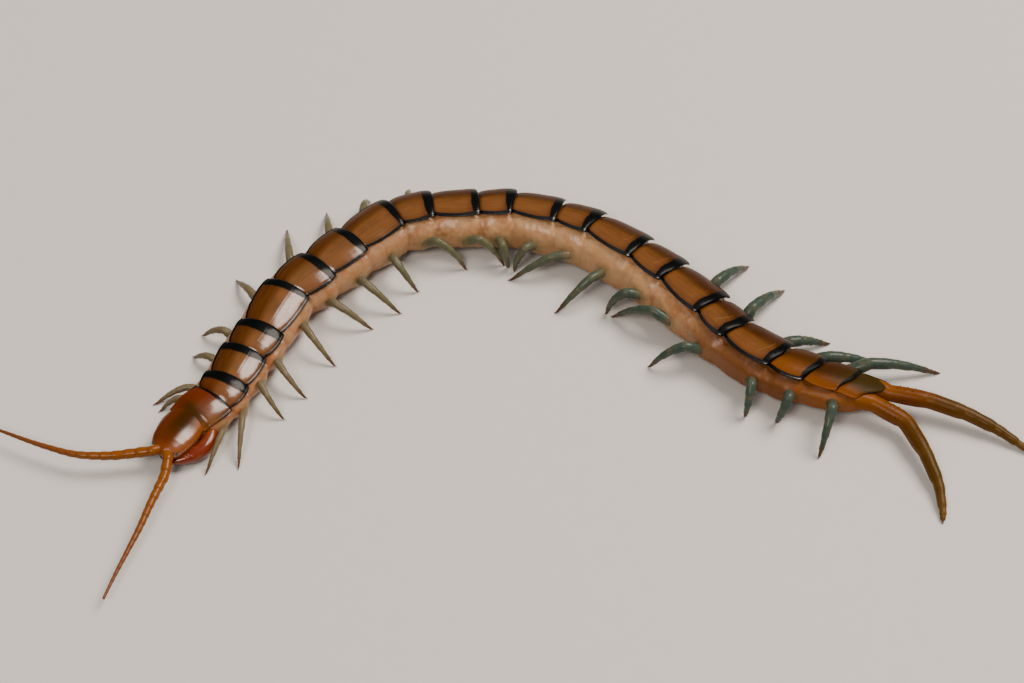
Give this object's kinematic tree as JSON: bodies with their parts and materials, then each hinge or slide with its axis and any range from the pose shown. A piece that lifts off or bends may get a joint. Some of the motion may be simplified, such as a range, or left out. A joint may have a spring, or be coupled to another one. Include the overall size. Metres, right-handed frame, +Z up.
{
  "type": "giant centipede",
  "caption": "Life-size still model of a banded giant centipede, long jointed body curved over the floor, standing on its legs with antennae and trailing last legs spread.",
  "frame": {"origin": "centre of the animal's footprint box on the floor it stands on", "axes": "+X from the head end toward the tail end across the picture, +Y away from the viewer, +Z up"},
  "size_m": [0.133, 0.0688, 0.0072],
  "materials": {
    "red_brown_head": "glossy red-brown shell",
    "amber_plate": "glossy amber back plates with blue-black hind bands over soft beige flanks",
    "orange_antenna": "satin orange, paler and duller toward the tip",
    "red_fang": "glossy red-orange with a black point",
    "blue_green_leg": "glossy translucent blue-green to grey-olive, dark claw",
    "orange_last_leg": "glossy orange turning olive-brown"
  },
  "bodies": {
    "root": {"head": "red_brown_head", "trunk_1": "amber_plate", "trunk_2": "amber_plate", "trunk_3": "amber_plate", "trunk_4": "amber_plate", "trunk_5": "amber_plate", "trunk_6": "amber_plate", "trunk_7": "amber_plate", "antenna_left": "orange_antenna", "antenna_right": "orange_antenna", "forcipule_left": "red_fang", "forcipule_right": "red_fang", "leg_left_01": "blue_green_leg", "leg_left_02": "blue_green_leg", "leg_left_03": "blue_green_leg", "leg_left_04": "blue_green_leg", "leg_left_05": "blue_green_leg", "leg_left_06": "blue_green_leg", "leg_left_07": "blue_green_leg", "leg_left_08": "blue_green_leg", "leg_left_09": "blue_green_leg", "leg_left_10": "blue_green_leg", "leg_left_11": "blue_green_leg", "leg_left_12": "blue_green_leg", "leg_left_13": "blue_green_leg", "leg_left_14": "blue_green_leg", "leg_left_15": "blue_green_leg", "leg_left_16": "blue_green_leg", "leg_left_17": "blue_green_leg", "leg_left_18": "blue_green_leg", "leg_left_19": "blue_green_leg", "leg_left_20": "blue_green_leg", "leg_left_21": "orange_last_leg", "leg_right_01": "blue_green_leg", "leg_right_02": "blue_green_leg", "leg_right_03": "blue_green_leg", "leg_right_04": "blue_green_leg", "leg_right_05": "blue_green_leg", "leg_right_06": "blue_green_leg", "leg_right_07": "blue_green_leg", "leg_right_08": "blue_green_leg", "leg_right_09": "blue_green_leg", "leg_right_10": "blue_green_leg", "leg_right_11": "blue_green_leg", "leg_right_12": "blue_green_leg", "leg_right_13": "blue_green_leg", "leg_right_14": "blue_green_leg", "leg_right_15": "blue_green_leg", "leg_right_16": "blue_green_leg", "leg_right_17": "blue_green_leg", "leg_right_18": "blue_green_leg", "leg_right_19": "blue_green_leg", "leg_right_20": "blue_green_leg", "leg_right_21": "orange_last_leg"}
  },
  "joints": []
}
